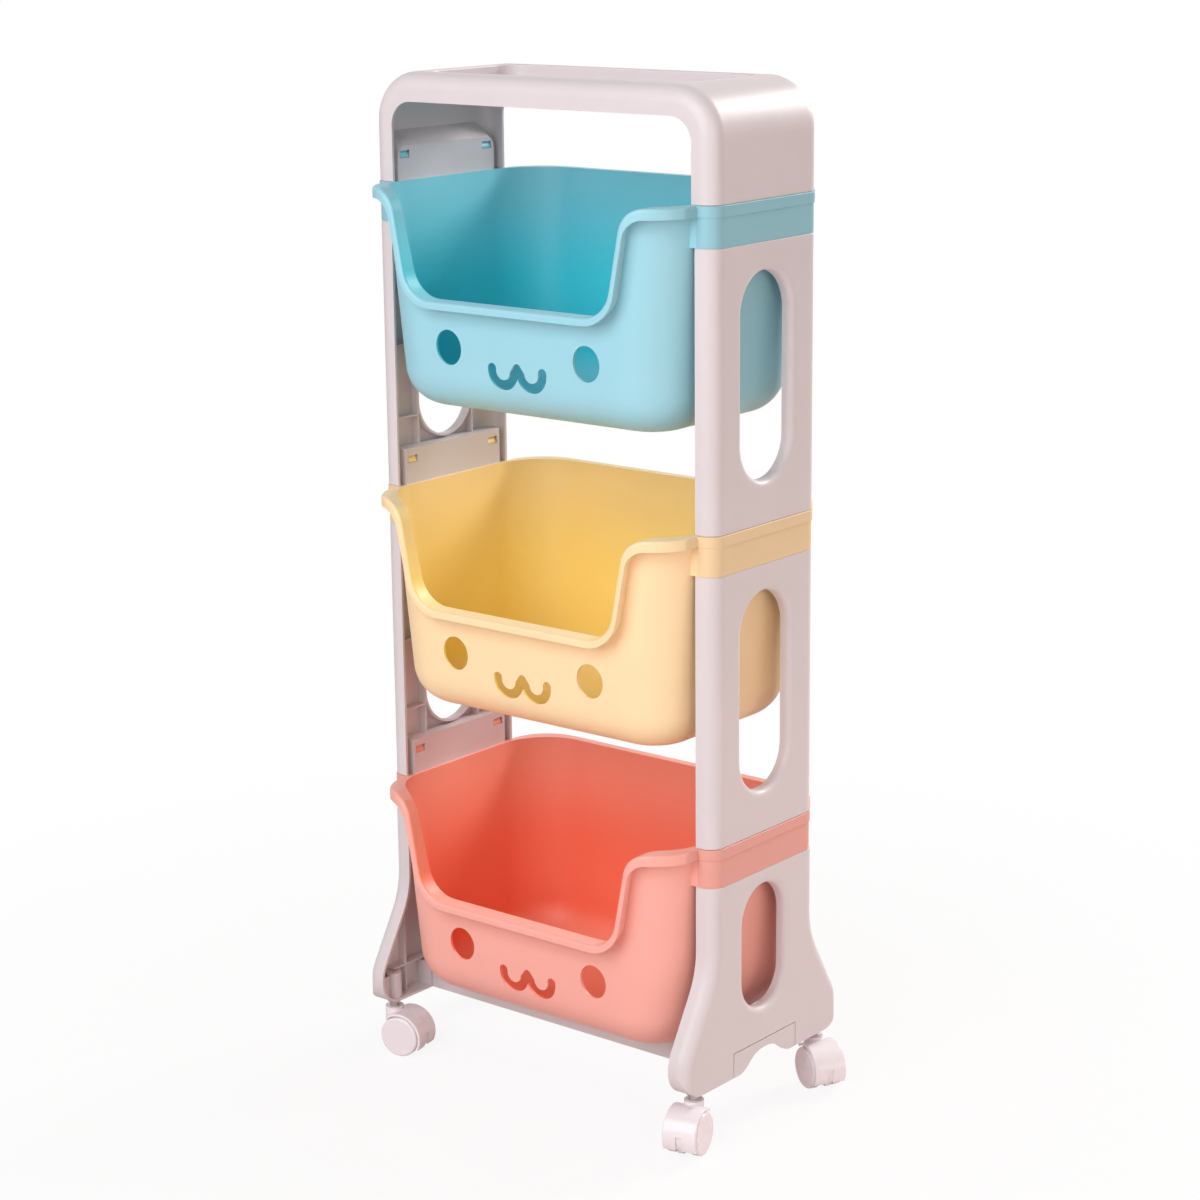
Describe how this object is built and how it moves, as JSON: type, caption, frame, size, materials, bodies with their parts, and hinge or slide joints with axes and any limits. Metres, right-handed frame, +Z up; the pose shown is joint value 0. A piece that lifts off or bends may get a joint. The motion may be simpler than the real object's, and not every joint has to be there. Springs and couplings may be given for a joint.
{
  "type": "rolling storage cart",
  "caption": "Rolling storage cart: deep bins with a lowered front and face cut-outs, stacked between side panels under a tray-topped arch frame, on swivel casters.",
  "frame": {"origin": "on the floor, midway between the four caster stems, under the middle of the cart", "axes": "+Z up, +X towards the right-hand side panels, -Y towards the lowered front of the bins"},
  "size_m": [0.4443, 0.264, 0.948],
  "materials": {
    "ivory_plastic": "satin",
    "blue_plastic": "satin",
    "yellow_plastic": "satin",
    "coral_plastic": "satin",
    "caster_plastic": "gloss",
    "steel": "zinc plated"
  },
  "bodies": {
    "cart": {"top_frame": "ivory_plastic", "cross_beam": "ivory_plastic", "foot_left": "ivory_plastic", "foot_right": "ivory_plastic", "lower_panel_left": "ivory_plastic", "lower_panel_right": "ivory_plastic", "upper_panel_left": "ivory_plastic", "upper_panel_right": "ivory_plastic", "bin_top": "blue_plastic", "bin_middle": "yellow_plastic", "bin_bottom": "coral_plastic", "caster_front_right_stem": "steel", "caster_front_left_stem": "steel", "caster_rear_right_stem": "steel", "caster_rear_left_stem": "steel"},
    "caster_front_right": {"caster_front_right_hood": "caster_plastic", "caster_front_right_axle": "steel"},
    "caster_front_right_wheel_a": {"caster_front_right_wheel_a": "caster_plastic"},
    "caster_front_right_wheel_b": {"caster_front_right_wheel_b": "caster_plastic"},
    "caster_front_left": {"caster_front_left_hood": "caster_plastic", "caster_front_left_axle": "steel"},
    "caster_front_left_wheel_a": {"caster_front_left_wheel_a": "caster_plastic"},
    "caster_front_left_wheel_b": {"caster_front_left_wheel_b": "caster_plastic"},
    "caster_rear_right": {"caster_rear_right_hood": "caster_plastic", "caster_rear_right_axle": "steel"},
    "caster_rear_right_wheel_a": {"caster_rear_right_wheel_a": "caster_plastic"},
    "caster_rear_right_wheel_b": {"caster_rear_right_wheel_b": "caster_plastic"},
    "caster_rear_left": {"caster_rear_left_hood": "caster_plastic", "caster_rear_left_axle": "steel"},
    "caster_rear_left_wheel_a": {"caster_rear_left_wheel_a": "caster_plastic"},
    "caster_rear_left_wheel_b": {"caster_rear_left_wheel_b": "caster_plastic"}
  },
  "joints": [
    {"name": "caster_front_right_swivel", "type": "hinge", "parent": "cart", "child": "caster_front_right", "pos_m": [0.184, -0.094, 0.04], "axis": [0, 0, 1], "continuous": true},
    {"name": "caster_front_right_wheel_a_spin", "type": "hinge", "parent": "caster_front_right", "child": "caster_front_right_wheel_a", "pos_m": [0.18715, -0.10661, 0.02], "axis": [0.9703, 0.2419, 0], "continuous": true},
    {"name": "caster_front_right_wheel_b_spin", "type": "hinge", "parent": "caster_front_right", "child": "caster_front_right_wheel_b", "pos_m": [0.18715, -0.10661, 0.02], "axis": [0.9703, 0.2419, 0], "continuous": true},
    {"name": "caster_front_left_swivel", "type": "hinge", "parent": "cart", "child": "caster_front_left", "pos_m": [-0.184, -0.094, 0.04], "axis": [0, 0, 1], "continuous": true},
    {"name": "caster_front_left_wheel_a_spin", "type": "hinge", "parent": "caster_front_left", "child": "caster_front_left_wheel_a", "pos_m": [-0.17131, -0.09119, 0.02], "axis": [-0.2164, 0.9763, 0], "continuous": true},
    {"name": "caster_front_left_wheel_b_spin", "type": "hinge", "parent": "caster_front_left", "child": "caster_front_left_wheel_b", "pos_m": [-0.17131, -0.09119, 0.02], "axis": [-0.2164, 0.9763, 0], "continuous": true},
    {"name": "caster_rear_right_swivel", "type": "hinge", "parent": "cart", "child": "caster_rear_right", "pos_m": [0.184, 0.094, 0.04], "axis": [0, 0, 1], "continuous": true},
    {"name": "caster_rear_right_wheel_a_spin", "type": "hinge", "parent": "caster_rear_right", "child": "caster_rear_right_wheel_a", "pos_m": [0.19558, 0.0881, 0.02], "axis": [0.454, 0.891, 0], "continuous": true},
    {"name": "caster_rear_right_wheel_b_spin", "type": "hinge", "parent": "caster_rear_right", "child": "caster_rear_right_wheel_b", "pos_m": [0.19558, 0.0881, 0.02], "axis": [0.454, 0.891, 0], "continuous": true},
    {"name": "caster_rear_left_swivel", "type": "hinge", "parent": "cart", "child": "caster_rear_left", "pos_m": [-0.184, 0.094, 0.04], "axis": [0, 0, 1], "continuous": true},
    {"name": "caster_rear_left_wheel_a_spin", "type": "hinge", "parent": "caster_rear_left", "child": "caster_rear_left_wheel_a", "pos_m": [-0.19319, 0.10319, 0.02], "axis": [-0.7071, -0.7071, 0], "continuous": true},
    {"name": "caster_rear_left_wheel_b_spin", "type": "hinge", "parent": "caster_rear_left", "child": "caster_rear_left_wheel_b", "pos_m": [-0.19319, 0.10319, 0.02], "axis": [-0.7071, -0.7071, 0], "continuous": true}
  ]
}
